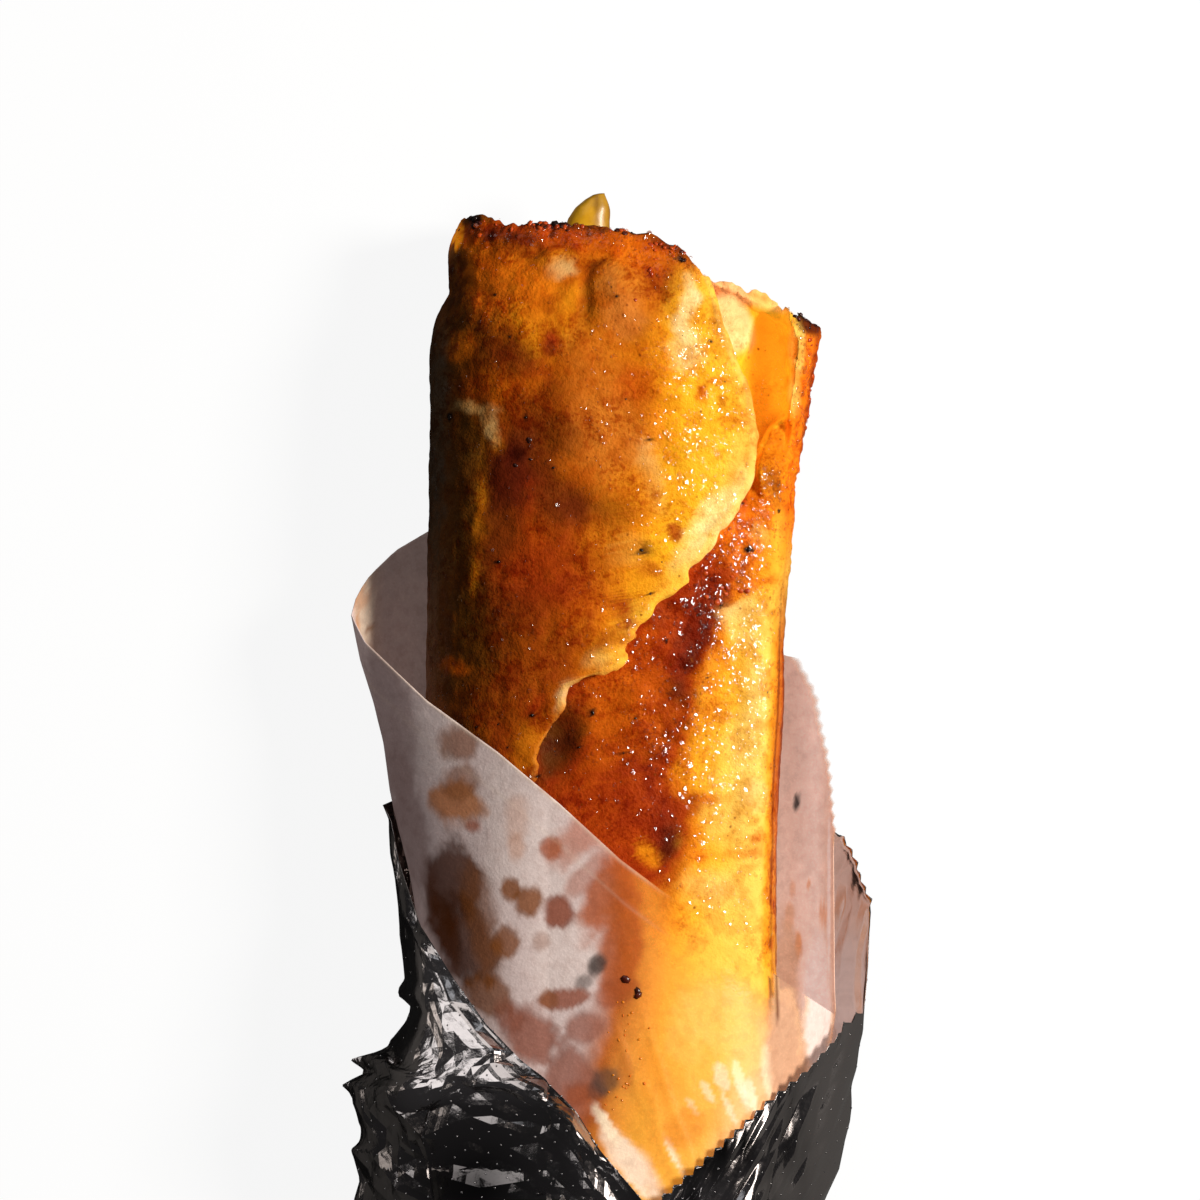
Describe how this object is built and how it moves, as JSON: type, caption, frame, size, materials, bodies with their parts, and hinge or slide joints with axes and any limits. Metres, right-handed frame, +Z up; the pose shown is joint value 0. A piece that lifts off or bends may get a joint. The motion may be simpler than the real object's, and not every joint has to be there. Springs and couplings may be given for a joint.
{
  "type": "shawarma flatbread wrap",
  "caption": "Rolled and grilled flatbread wrap with a slice of pickle at its open end, held in greaseproof paper and crumpled foil, lying down with its seam upwards.",
  "frame": {"origin": "on the flat underside of the foil, below the middle of the roll's width", "axes": "+X to the right of the shown side, +Y along the roll towards its open mouth, +Z up out of the shown side"},
  "size_m": [0.0951, 0.2307, 0.0423],
  "materials": {
    "bread": "toasted, oiled flatbread crust",
    "pickle": "wet pickled flesh",
    "paper": "thin greaseproof paper with grease stains",
    "foil": "bright crumpled household foil"
  },
  "bodies": {
    "root": {"bread": "bread", "pickle": "pickle", "paper": "paper", "foil": "foil"}
  },
  "joints": []
}
